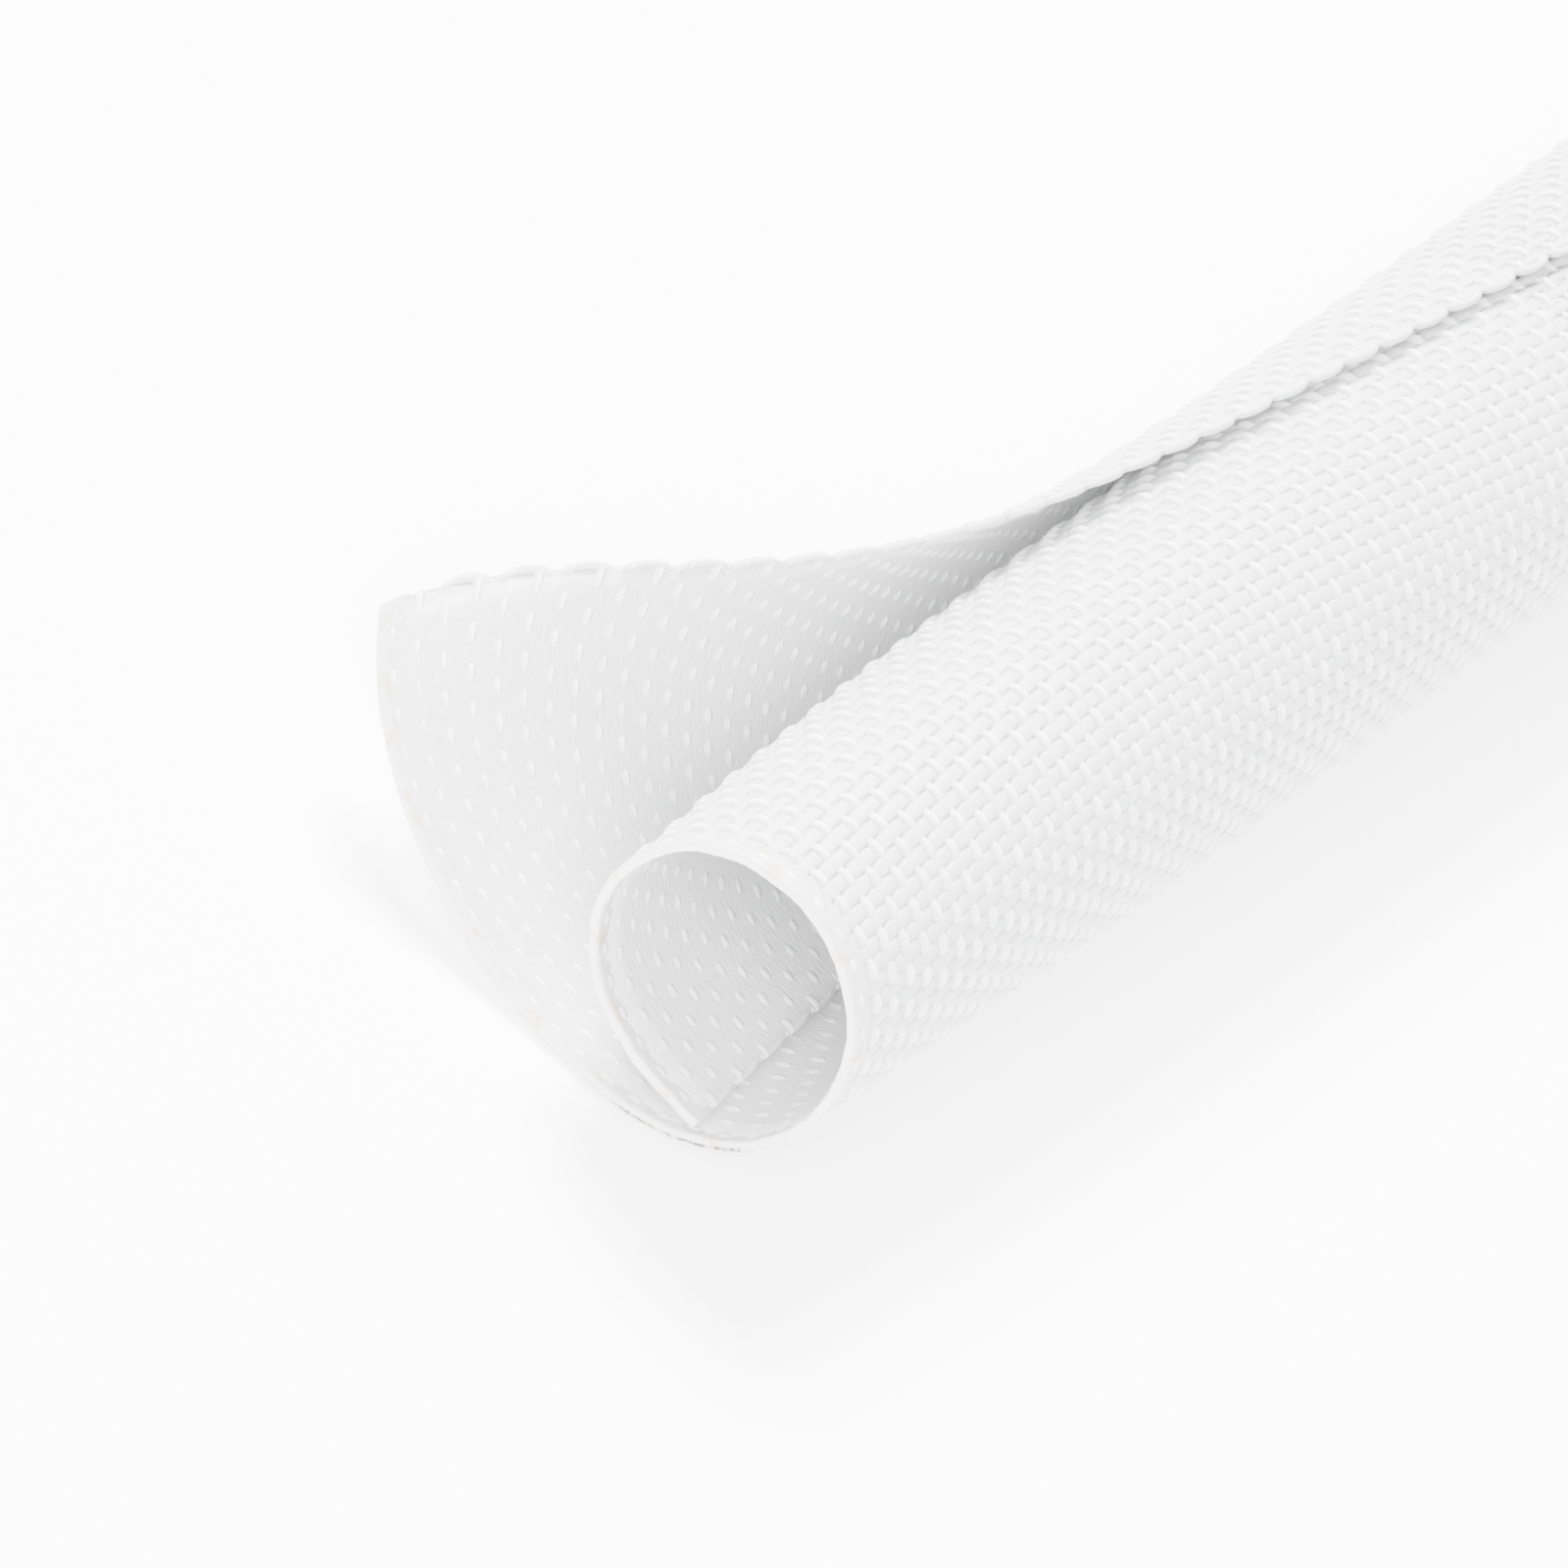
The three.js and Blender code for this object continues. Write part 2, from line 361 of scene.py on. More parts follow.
# %% The tree that weaves one family of yarns
INNER_FLATNESS = 0.45  # a power: 1 is as round as the outer face, and less is flatter
NOISE_ALONG, NOISE_ACROSS = 350, 2300  # per metre
LIFT_VARIES, WIDTH_VARIES = 0.25, 0.2  # shares
CROSSING_WIDTH, CROWN_SPREAD = 0.9, 0.16  # a yarn is thinner between two crowns


def yarn_tree():
    tree = bpy.data.node_groups.new("woven yarns", "GeometryNodeTree")
    given = named_inputs(
        tree,
        [
            ("Geometry", "NodeSocketGeometry", None),
            ("Run Start", "NodeSocketFloat", 0.0),
            ("Run Length", "NodeSocketFloat", 0.0665),
            ("Sections", "NodeSocketInt", 100),
            ("First Yarn", "NodeSocketFloat", 0.0),
            ("Pitch", "NodeSocketFloat", 0.0013),
            ("Yarns", "NodeSocketInt", 10),
            ("Crossing Pitch", "NodeSocketFloat", 0.0007),
            ("Crimp", "NodeSocketFloat", 0.0002),
            ("Yarn Width", "NodeSocketFloat", 0.001),
            ("Yarn Thickness", "NodeSocketFloat", 0.0003),
            ("Sides", "NodeSocketInt", 6),
            ("Wander", "NodeSocketFloat", 0.00004),
            ("Seed", "NodeSocketFloat", 0.0),
            ("Lengthwise", "NodeSocketBool", False),
            ("Fabric", "NodeSocketMaterial", None),
        ],
    )
    end = maths(tree, "ADD", given["Run Start"], given["Run Length"])
    line = add(
        tree,
        "GeometryNodeCurvePrimitiveLine",
        {"Start": vector(tree, given["Run Start"]), "End": vector(tree, end)},
    )
    points = maths(tree, "ADD", given["Sections"], 1)
    line = add(tree, "GeometryNodeResampleCurve", {"Curve": line.outputs[0], "Count": points})
    rows = add(
        tree,
        "GeometryNodeMeshLine",
        {
            "Count": given["Yarns"],
            "Start Location": vector(tree, 0, given["First Yarn"]),
            "Offset": vector(tree, 0, given["Pitch"]),
        },
        mode="OFFSET",
    )
    copies = add(
        tree, "GeometryNodeInstanceOnPoints", {"Points": rows.outputs[0], "Instance": line.outputs[0]}
    )
    curves = add(tree, "GeometryNodeRealizeInstances", {"Geometry": copies.outputs[0]}).outputs[0]

    place = add(
        tree,
        "ShaderNodeSeparateXYZ",
        {0: tree.nodes.new("GeometryNodeInputPosition").outputs[0]},
    ).outputs
    waves = []
    for distance, pitch in ((place[0], "Crossing Pitch"), (place[1], "Pitch")):
        crossings = maths(tree, "DIVIDE", distance, given[pitch])
        waves.append(maths(tree, "SINE", maths(tree, "MULTIPLY", crossings, math.pi)))
    plain = maths(tree, "MULTIPLY", *waves)
    below = maths(tree, "MAXIMUM", maths(tree, "MULTIPLY", plain, -1), 0)
    below = maths(tree, "POWER", below, INNER_FLATNESS)
    wave = maths(tree, "SUBTRACT", maths(tree, "MAXIMUM", plain, 0), below)
    noise_place = vector(
        tree,
        maths(tree, "MULTIPLY", place[0], NOISE_ALONG),
        maths(tree, "MULTIPLY", place[1], NOISE_ACROSS),
    )
    noise = add(
        tree,
        "ShaderNodeTexNoise",
        {"Vector": noise_place, "W": given["Seed"], "Scale": 1.0, "Detail": 1.0},
        noise_dimensions="4D",
    )
    spread = add(tree, "ShaderNodeSeparateXYZ", {0: noise.outputs["Color"]}).outputs
    drift = [maths(tree, "MULTIPLY", maths(tree, "SUBTRACT", s, 0.5), 2) for s in spread]
    wandering = maths(tree, "MULTIPLY", drift[0], given["Wander"])
    uneven = maths(tree, "MULTIPLY_ADD", drift[1], LIFT_VARIES, 1)
    lift = maths(tree, "MULTIPLY", maths(tree, "MULTIPLY", wave, given["Crimp"]), uneven)
    curves = add(
        tree,
        "GeometryNodeSetPosition",
        {"Geometry": curves, "Offset": vector(tree, 0, wandering, lift)},
    ).outputs[0]
    squared = maths(tree, "MULTIPLY", wave, wave)
    crown = maths(tree, "MULTIPLY_ADD", squared, CROWN_SPREAD, CROSSING_WIDTH)
    full = maths(tree, "MULTIPLY_ADD", drift[2], WIDTH_VARIES, crown)
    curves = add(tree, "GeometryNodeSetCurveRadius", {"Curve": curves, "Radius": full}).outputs[0]
    yarns = swept(tree, curves, given)
    turned = add(tree, "GeometryNodeFlipFaces", {"Mesh": yarns}).outputs[0]
    chosen = add(
        tree,
        "GeometryNodeSwitch",
        {"Switch": given["Lengthwise"], "False": yarns, "True": turned},
        input_type="GEOMETRY",
    ).outputs[0]
    finish_on_guide(tree, given, chosen, given["Lengthwise"])
    return tree


yarns = yarn_tree()
print("yarn tree", len(yarns.nodes), "nodes")


# %% The tree for the turns at a woven edge
def turn_tree():
    """A cross yarn turns round at the edge and comes back as the next one: a small U each time."""
    tree = bpy.data.node_groups.new("turns at the woven edge", "GeometryNodeTree")
    given = named_inputs(
        tree,
        [
            ("Geometry", "NodeSocketGeometry", None),
            ("Edge", "NodeSocketFloat", 0.0),
            ("Bulge", "NodeSocketFloat", 0.0004),
            ("First Turn", "NodeSocketFloat", 0.0),
            ("Turn Width", "NodeSocketFloat", 0.0013),
            ("Spacing", "NodeSocketFloat", 0.0027),
            ("Turns", "NodeSocketInt", 10),
            ("Sections", "NodeSocketInt", 9),
            ("Yarn Width", "NodeSocketFloat", 0.0008),
            ("Yarn Thickness", "NodeSocketFloat", 0.0003),
            ("Sides", "NodeSocketInt", 6),
            ("Fabric", "NodeSocketMaterial", None),
        ],
    )
    line = tree.nodes.new("GeometryNodeCurvePrimitiveLine").outputs[0]
    line = add(tree, "GeometryNodeResampleCurve", {"Curve": line, "Count": given["Sections"]})
    share = tree.nodes.new("GeometryNodeSplineParameter").outputs[0]
    around = maths(tree, "MULTIPLY", share, math.pi)
    out = maths(tree, "MULTIPLY", maths(tree, "SINE", around), given["Bulge"])
    half_width = maths(tree, "MULTIPLY", given["Turn Width"], -0.5)
    aside = maths(tree, "MULTIPLY", maths(tree, "COSINE", around), half_width)
    bow = vector(tree, maths(tree, "ADD", given["Edge"], out), aside, 0)
    bow = add(tree, "GeometryNodeSetPosition", {"Geometry": line.outputs[0], "Position": bow})
    rows = add(
        tree,
        "GeometryNodeMeshLine",
        {
            "Count": given["Turns"],
            "Start Location": vector(tree, 0, given["First Turn"]),
            "Offset": vector(tree, 0, given["Spacing"]),
        },
        mode="OFFSET",
    )
    copies = add(
        tree, "GeometryNodeInstanceOnPoints", {"Points": rows.outputs[0], "Instance": bow.outputs[0]}
    )
    curves = add(tree, "GeometryNodeRealizeInstances", {"Geometry": copies.outputs[0]}).outputs[0]
    finish_on_guide(tree, given, swept(tree, curves, given))
    return tree


turns = turn_tree()
print("turn tree", len(turns.nodes), "nodes")


# %% Run a tree on the guide and keep the result as a plain mesh
def grown(name, tree, values):
    source = bpy.data.objects.new(name, guide.copy())
    bpy.context.scene.collection.objects.link(source)
    modifier = source.modifiers.new("grow", "NODES")
    modifier.node_group = tree
    for item in tree.interface.items_tree:
        if item.in_out == "INPUT" and item.name in values:
            modifier[item.identifier] = values[item.name]
    evaluated = source.evaluated_get(bpy.context.evaluated_depsgraph_get())
    mesh = bpy.data.meshes.new_from_object(evaluated)
    mesh.name = name
    source.modifiers.clear()
    source.data = mesh
    mesh.calc_loop_triangles()
    places = np.zeros(len(mesh.vertices) * 3, np.float32)
    mesh.vertices.foreach_get("co", places)
    places = places.reshape(-1, 3) / MM
    low, high = np.round(places.min(0), 1), np.round(places.max(0), 1)
    print(name, len(mesh.loop_triangles), "triangles, from", low, "to", high, "mm")
    return source


# %% [markdown]
# ## The finish of the yarns
#
# The yarns are bundles of fine white filaments. Light glances off them in short bright dashes
# on each crown, and the valleys stay matt. These dashes are painted highlights: the colour is
# mixed towards a lighter one on each crown. Every yarn kept its flat place and its height as an
# attribute. The height and the distance from the yarn's middle say where a crown is, and a slow
# noise makes some painted highlights brighter than others. Inside the tube the photograph shows
# no dashes, only felt, so there they fade. The filaments are fine lines along the yarn, so the
# bump is a noise that is stretched along the yarn. Some light soaks through such thin white
# fabric. A faint painted glow of the loose fibres stands for it, because true scattering is slow
# to render.

# %% A node group for filaments and painted crown highlights
FILAMENT_LEAN = 0.12  # the filaments are twisted a little round the yarn
CLOUD_SCALE = 0.9  # per millimetre
OUTER_CROWN_HIGHLIGHT = (0.1, 0.26, 0.24, 0.04)  # where the painted highlight lies: heights, then distances from the yarn's middle, in mm
INNER_CROWN_HIGHLIGHT = (-0.14, -0.21, 0.11, 0.02)
TUBE_UP_TO, FLAP_FULLY_FROM = 32, 42  # along the strip, in mm
# How strong the painted highlight dashes are inside the tube and on the flap
DASHES_IN_TUBE, DASHES_ON_FLAP = 0.1, 1.5
PATCHES, PATCHES_FROM = 2.2, -0.15  # how strongly the clouds dim the painted highlight on some crowns
LINES_SHARE = 0.5  # of the filaments in the colour
WORN_BY_CLOUDS = 0.3
WORN_LEAST, WORN_MOST = 0.4, 0.9
SMOOTHEST, ROUGHEST = 0.3, 0.6
LIGHT_THROUGH = 0.2  # the faint painted glow of the loose fibres, for light that passes through
FAR_APART = 10.0  # the pitch in millimetres for a finish that has no crowns to mark


def crown_highlight_mask(tree, height, offset, crown):
    low, high, edge, middle = crown
    return maths(tree, "MULTIPLY", ramp(tree, height, low, high), ramp(tree, offset, edge, middle))


def filament_group():
    tree = bpy.data.node_groups.new("filaments", "ShaderNodeTree")
    given = named_inputs(
        tree,
        [
            ("Across", "NodeSocketFloat", 20.0),
            ("Along", "NodeSocketFloat", 1.0),
            ("Pitch", "NodeSocketFloat", 1.0),
            ("Tint", "NodeSocketColor", (0.8, 0.8, 0.8, 1)),
            ("Shade", "NodeSocketColor", (0.7, 0.7, 0.72, 1)),
        ],
    )
    tree.interface.new_socket("Height", in_out="OUTPUT", socket_type="NodeSocketFloat")
    tree.interface.new_socket("Colour", in_out="OUTPUT", socket_type="NodeSocketColor")
    tree.interface.new_socket("Roughness", in_out="OUTPUT", socket_type="NodeSocketFloat")
    flat = add(tree, "ShaderNodeAttribute", attribute_name="flat")
    a, b, h = add(tree, "ShaderNodeSeparateXYZ", {0: flat.outputs["Vector"]}).outputs
    lean = maths(tree, "MULTIPLY_ADD", a, FILAMENT_LEAN, b)
    lines = add(
        tree,
        "ShaderNodeTexNoise",
        {
            "Vector": vector(
                tree,
                maths(tree, "MULTIPLY", a, given["Along"]),
                maths(tree, "MULTIPLY", lean, given["Across"]),
                maths(tree, "MULTIPLY", h, given["Across"]),
            ),
            "Scale": 1.0,
            "Detail": 2.0,
        },
    ).outputs["Fac"]
    cloud = add(
        tree,
        "ShaderNodeTexNoise",
        {"Vector": flat.outputs["Vector"], "Scale": CLOUD_SCALE, "Detail": 3.0},
    ).outputs["Fac"]
    pitches = maths(tree, "DIVIDE", b, given["Pitch"])
    offset = maths(tree, "SUBTRACT", maths(tree, "FRACT", pitches), 0.5)
    offset = maths(tree, "MULTIPLY", maths(tree, "ABSOLUTE", offset), given["Pitch"])
    flap = ramp(tree, a, TUBE_UP_TO, FLAP_FULLY_FROM, DASHES_IN_TUBE, DASHES_ON_FLAP)
    # Painted highlights: the colour turns lighter on the crowns, where light would glance off.
    outer = crown_highlight_mask(tree, h, offset, OUTER_CROWN_HIGHLIGHT)
    inner = maths(tree, "MULTIPLY", crown_highlight_mask(tree, h, offset, INNER_CROWN_HIGHLIGHT), flap)
    patchy = maths(tree, "MULTIPLY_ADD", cloud, PATCHES, PATCHES_FROM)
    crown = maths(tree, "MULTIPLY", maths(tree, "MAXIMUM", outer, inner), patchy)
    centred = maths(tree, "SUBTRACT", lines, 0.5)
    blend = maths(tree, "MULTIPLY_ADD", centred, LINES_SHARE, crown)
    colour = add(
        tree,
        "ShaderNodeMix",
        {0: blend, 6: given["Shade"], 7: given["Tint"]},
        data_type="RGBA",
        clamp_factor=True,
    )
    worn = maths(tree, "ADD", lines, maths(tree, "MULTIPLY", cloud, WORN_BY_CLOUDS))
    rough = ramp(tree, worn, WORN_LEAST, WORN_MOST, SMOOTHEST, ROUGHEST)
    out = tree.nodes.new("NodeGroupOutput")
    tree.links.new(lines, out.inputs["Height"])
    tree.links.new(colour.outputs[2], out.inputs["Colour"])
    tree.links.new(rough, out.inputs["Roughness"])
    return tree


filaments = filament_group()


def yarn_material(name, across, along, bump, highlight_and_grain, shade, sheen, pitch=FAR_APART):
    material = bpy.data.materials.new(name)
    material.use_nodes = True
    tree = material.node_tree
    shader = tree.nodes["Principled BSDF"]
    group = add(tree, "ShaderNodeGroup", node_tree=filaments)
    group.inputs["Across"].default_value = across
    group.inputs["Along"].default_value = along
    group.inputs["Pitch"].default_value = pitch
    group.inputs["Tint"].default_value = (*highlight_and_grain, 1)
    group.inputs["Shade"].default_value = (*shade, 1)
    depth = {"Height": group.outputs["Height"], "Distance": bump * MM, "Strength": 1.0}
    relief = add(tree, "ShaderNodeBump", depth)
    tree.links.new(group.outputs["Colour"], shader.inputs["Base Color"])
    tree.links.new(group.outputs["Roughness"], shader.inputs["Roughness"])
    tree.links.new(relief.outputs[0], shader.inputs["Normal"])
    shader.inputs["Sheen Weight"].default_value = sheen
    shader.inputs["Sheen Roughness"].default_value = 0.4
    material.diffuse_color = (*highlight_and_grain, 1)
    return material


# The lighter colour is the painted highlight on the crowns and the light part of the grain.
cross_finish = yarn_material(
    "cross_yarn",
    across=8,
    along=1.2,
    bump=0.08,
    highlight_and_grain=(0.86, 0.86, 0.86),
    shade=(0.6, 0.6, 0.61),
    sheen=0.1,
    pitch=LENGTH / CROSS_YARNS,
)
long_finish = yarn_material(
    "lengthwise_yarn",
    across=1.5,
    along=7,
    bump=0.08,
    highlight_and_grain=(0.62, 0.62, 0.63),
    shade=(0.56, 0.56, 0.57),
    sheen=0.1,
)
fibre_finish = yarn_material(
    "loose_fibres",
    across=6,
    along=2.5,
    bump=0.08,
    highlight_and_grain=(0.64, 0.64, 0.65),
    shade=(0.54, 0.54, 0.55),
    sheen=0.2,
)
fibre_shader = fibre_finish.node_tree.nodes["Principled BSDF"]
# A painted glow: the loose fibres glow a little, for light that soaks through the thin fabric.
fibre_shader.inputs["Emission Color"].default_value = (1, 1, 1, 1)
fibre_shader.inputs["Emission Strength"].default_value = LIGHT_THROUGH
print("materials", [m.name for m in bpy.data.materials])

# %% [markdown]
# ## Weave the sleeve
#
# The part that the photograph shows gets rounder yarns than the rest, and the rest is split so
# that no piece grows too heavy. The pieces meet between two crossings, where both yarns pass
# through the middle of the fabric.

# %% Counts and sizes of the yarns
lengthwise_pitch = STRIP_WIDTH / LENGTHWISE_YARNS * MM
cross_pitch = LENGTH / CROSS_YARNS * MM
CROSS_YARN = {"Yarn Width": 0.56 * MM, "Yarn Thickness": 0.36 * MM, "Crimp": 0.13 * MM}
LONG_YARN = {"Yarn Width": 0.84 * MM, "Yarn Thickness": 0.24 * MM, "Crimp": -0.05 * MM}
print("pitches", round(lengthwise_pitch * 1000, 3), round(cross_pitch * 1000, 3), "mm")


def cross_yarns(name, first, count, sections, sides):
    return grown(
        name,
        yarns,
        {
            "Run Start": 0.0,
            "Run Length": STRIP_WIDTH * MM,
            "Sections": sections * LENGTHWISE_YARNS,
            "First Yarn": (first + 0.5) * cross_pitch,
            "Pitch": cross_pitch,
            "Yarns": count,
            "Crossing Pitch": lengthwise_pitch,
            "Sides": sides,
            "Wander": 0.05 * MM,
            "Seed": 1.0,
            "Fabric": cross_finish,
            **CROSS_YARN,
        },
    )


def lengthwise_yarns(name, first, count, sections, sides):
    return grown(
        name,
        yarns,
        {
            "Run Start": first * cross_pitch,
            "Run Length": count * cross_pitch,
            "Sections": sections * count,
            "First Yarn": 0.5 * lengthwise_pitch,
            "Pitch": lengthwise_pitch,
            "Yarns": LENGTHWISE_YARNS,
            "Crossing Pitch": cross_pitch,
            "Sides": sides,
            "Wander": 0.03 * MM,
            "Seed": 5.0,
            "Lengthwise": True,
            "Fabric": long_finish,
            **LONG_YARN,
        },
    )


# %% Weave
pieces = [
    cross_yarns("cross_yarns_opened", 0, 26, 3, 8),
    cross_yarns("cross_yarns_closing", 26, 26, 3, 8),
    cross_yarns("cross_yarns_middle", 52, 87, 2, 4),
    cross_yarns("cross_yarns_far", 139, 86, 2, 4),
    lengthwise_yarns("lengthwise_yarns_opened", 0, 52, 3, 6),
    lengthwise_yarns("lengthwise_yarns_middle", 52, 87, 2, 4),
    lengthwise_yarns("lengthwise_yarns_far", 139, 87, 2, 4),
]


# %% [markdown]
# ## The woven edges
#
# At a woven edge nothing is cut. Each cross yarn turns round the last lengthwise yarn and comes
# back, so the edge has a small scallop for every two cross yarns, with a notch in between. The
# photograph shows these scallops along the whole edge of the flap.

# %% Turns at both woven edges
EDGE_INSET = 0.2 * MM
INNER_BULGE, FLAP_BULGE = -0.12 * MM, 0.34 * MM
TURN_SHARE = 1.6  # a turn is this many pitches wide, of the two that it has
TURN_YARN = {"Yarn Width": 0.36 * MM, "Yarn Thickness": 0.4 * MM}


def edge_turns(name, edge, bulge, first):
    return grown(
        name,
        turns,
        {
            "Edge": edge,
            "Bulge": bulge,
            "First Turn": (first + 1) * cross_pitch,
            "Turn Width": TURN_SHARE * cross_pitch,
            "Spacing": 2 * cross_pitch,
            "Turns": (CROSS_YARNS - first - 1) // 2,
            "Sides": 6,
            "Fabric": cross_finish,
            **TURN_YARN,
        },
    )


pieces += [
    edge_turns("inner_edge_turns", EDGE_INSET, INNER_BULGE, 1),
    edge_turns("flap_edge_turns", STRIP_WIDTH * MM - EDGE_INSET, FLAP_BULGE, 2),
]

# %% [markdown]
# ## The cut ends
#
# A hot knife cuts this fabric, so that it doesn't fray. The ends of the yarns melt into one
# smooth, slightly warm-coloured band with a wavy edge and a few scorched spots. A thin dark line
# where the photograph shows one, at the lowest stretch of the opened end where the cut lies on
# the floor, is a painted contact shadow. The band's profile is a rounded oblong that is thinner
# on the fabric's side. The tree sweeps it along the cut, shakes it a little with a noise and
# bends it onto the guide. Yarns that simply stop would be easier, but they would look cut with
# scissors.

# %% The tree for a melted band
SQUARENESS = 0.45  # a power: 1 is an ellipse, and less is squarer
LUMPS = ((700, 0.16), (3000, 0.07))  # how many per metre, and their size in millimetres


def band_profile(tree, given):
    """A rounded oblong that is thinner on the side of the fabric."""
    ring = add(tree, "GeometryNodeCurvePrimitiveCircle", {"Resolution": given["Sides"], "Radius": 1.0})
    place = tree.nodes.new("GeometryNodeInputPosition").outputs[0]
    x, y, _ = add(tree, "ShaderNodeSeparateXYZ", {0: place}).outputs
    square = [signed_power(tree, value, SQUARENESS) for value in (x, y)]
    side = maths(tree, "MULTIPLY", square[0], given["Taper"])
    mean = maths(tree, "MULTIPLY_ADD", maths(tree, "ABSOLUTE", given["Taper"]), -0.5, 1)
    full = maths(tree, "SUBTRACT", mean, maths(tree, "MULTIPLY", side, 0.5))
    half_width = maths(tree, "MULTIPLY", given["Band Width"], 0.5)
    half_height = maths(tree, "MULTIPLY", given["Thickness"], 0.5)
    across = maths(tree, "MULTIPLY", square[0], half_width)
    high = maths(tree, "MULTIPLY", maths(tree, "MULTIPLY", square[1], full), half_height)
    shape = {"Geometry": ring.outputs[0], "Position": vector(tree, across, high)}
    return add(tree, "GeometryNodeSetPosition", shape).outputs[0]


def uneven_band(tree, solid, given):
    """Molten plastic sets with a wavy edge and a lumpy face."""
    place = tree.nodes.new("GeometryNodeInputPosition").outputs[0]
    waves = []
    for scale, amount in LUMPS:
        noise = add(
            tree,
            "ShaderNodeTexNoise",
            {"Vector": place, "W": given["Seed"], "Scale": scale, "Detail": 1.0},
            noise_dimensions="4D",
        )
        _, b, h = add(tree, "ShaderNodeSeparateXYZ", {0: noise.outputs["Color"]}).outputs
        drift = vector(tree, 0, maths(tree, "SUBTRACT", b, 0.5), maths(tree, "SUBTRACT", h, 0.5))
        size = {0: drift, "Scale": amount * MM}
        waves.append(add(tree, "ShaderNodeVectorMath", size, operation="SCALE").outputs[0])
    shift = add(tree, "ShaderNodeVectorMath", {0: waves[0], 1: waves[1]}, operation="ADD").outputs[0]
    return add(tree, "GeometryNodeSetPosition", {"Geometry": solid, "Offset": shift}).outputs[0]


def band_tree():
    tree = bpy.data.node_groups.new("melted band", "GeometryNodeTree")
    given = named_inputs(
        tree,
        [
            ("Geometry", "NodeSocketGeometry", None),
            ("Run Start", "NodeSocketFloat", 0.0),
            ("Run Length", "NodeSocketFloat", 0.0665),
            ("Sections", "NodeSocketInt", 300),
            ("Middle", "NodeSocketFloat", 0.0007),
            ("Band Width", "NodeSocketFloat", 0.0015),
            ("Thickness", "NodeSocketFloat", 0.0006),
            ("Taper", "NodeSocketFloat", 0.5),
            ("Sides", "NodeSocketInt", 16),
            ("Seed", "NodeSocketFloat", 0.0),
            ("Fabric", "NodeSocketMaterial", None),
        ],
    )
    end = maths(tree, "ADD", given["Run Start"], given["Run Length"])
    line = add(
        tree,
        "GeometryNodeCurvePrimitiveLine",
        {
            "Start": vector(tree, given["Run Start"], given["Middle"]),
            "End": vector(tree, end, given["Middle"]),
        },
    ).outputs[0]
    sections = {"Curve": line, "Count": given["Sections"]}
    line = add(tree, "GeometryNodeResampleCurve", sections).outputs[0]
    line = add(tree, "GeometryNodeSetCurveNormal", {"Curve": line}).outputs[0]
    solid = add(
        tree,
        "GeometryNodeCurveToMesh",
        {"Curve": line, "Profile Curve": band_profile(tree, given), "Fill Caps": True},
    ).outputs[0]
    finish_on_guide(tree, given, note_flat(tree, uneven_band(tree, solid, given)))
    return tree


bands = band_tree()
print("band tree", len(bands.nodes), "nodes")

# %% Melted bands
SCORCH_SCALE = 0.9  # per millimetre
SCORCH_BEGINS, SCORCH_FULL = 0.57, 0.65  # the values of the noise where a spot is
SCORCH_STRENGTH = 0.6
# A painted contact shadow: a thin, broken, dark line where the cut lies on the floor.
CONTACT_SHADOW_FROM, CONTACT_SHADOW_TO = 36.5, 44.0  # along the strip, where the cut lies on the floor
CONTACT_SHADOW_DEPTH = 0.6  # from the cut
CONTACT_SHADOW_HEIGHT = 0.02  # and only on the side that lies on the floor
CONTACT_SHADOW_RAGGED = 4.0  # per millimetre


def contact_shadow_line(tree, flat):
    """A thin, broken, dark line of painted contact shadow along the lowest stretch, where the cut lies
    on the floor.
    """
    a, b, h = add(tree, "ShaderNodeSeparateXYZ", {0: flat}).outputs
    ragged = {"Vector": flat, "Scale": CONTACT_SHADOW_RAGGED, "Detail": 2.0}
    ragged = add(tree, "ShaderNodeTexNoise", ragged).outputs["Fac"]
    mask = ramp(tree, ragged, 0.4, 0.55)
    for part in (
        ramp(tree, a, CONTACT_SHADOW_FROM, CONTACT_SHADOW_FROM + 1),
        ramp(tree, a, CONTACT_SHADOW_TO, CONTACT_SHADOW_TO - 1),
        ramp(tree, b, CONTACT_SHADOW_DEPTH, CONTACT_SHADOW_DEPTH / 2),
        ramp(tree, h, CONTACT_SHADOW_HEIGHT, 2 * CONTACT_SHADOW_HEIGHT),
    ):
        mask = maths(tree, "MULTIPLY", mask, part)
    return mask


def scorch_and_shadow_group():
    """Small yellowish scorch spots, few and far apart, and one dark line of painted contact shadow."""
    tree = bpy.data.node_groups.new("scorch marks and contact shadow", "ShaderNodeTree")
    given = named_inputs(
        tree,
        [
            ("Colour", "NodeSocketColor", (1, 1, 1, 1)),
            ("Burnt", "NodeSocketColor", (0.5, 0.42, 0.28, 1)),
            ("Contact Shadow", "NodeSocketColor", (0.12, 0.1, 0.08, 1)),
        ],
    )
    tree.interface.new_socket("Colour", in_out="OUTPUT", socket_type="NodeSocketColor")
    flat = add(tree, "ShaderNodeAttribute", attribute_name="flat").outputs["Vector"]
    pattern = {"Vector": flat, "Scale": SCORCH_SCALE, "Detail": 2.0}
    noise = add(tree, "ShaderNodeTexNoise", pattern).outputs["Fac"]
    spots = ramp(tree, noise, SCORCH_BEGINS, SCORCH_FULL, 0.0, SCORCH_STRENGTH)
    colours = {0: spots, 6: given["Colour"], 7: given["Burnt"]}
    mixed = add(tree, "ShaderNodeMix", colours, data_type="RGBA").outputs[2]
    colours = {0: contact_shadow_line(tree, flat), 6: mixed, 7: given["Contact Shadow"]}
    mixed = add(tree, "ShaderNodeMix", colours, data_type="RGBA").outputs[2]
    tree.links.new(mixed, tree.nodes.new("NodeGroupOutput").inputs[0])
    return tree


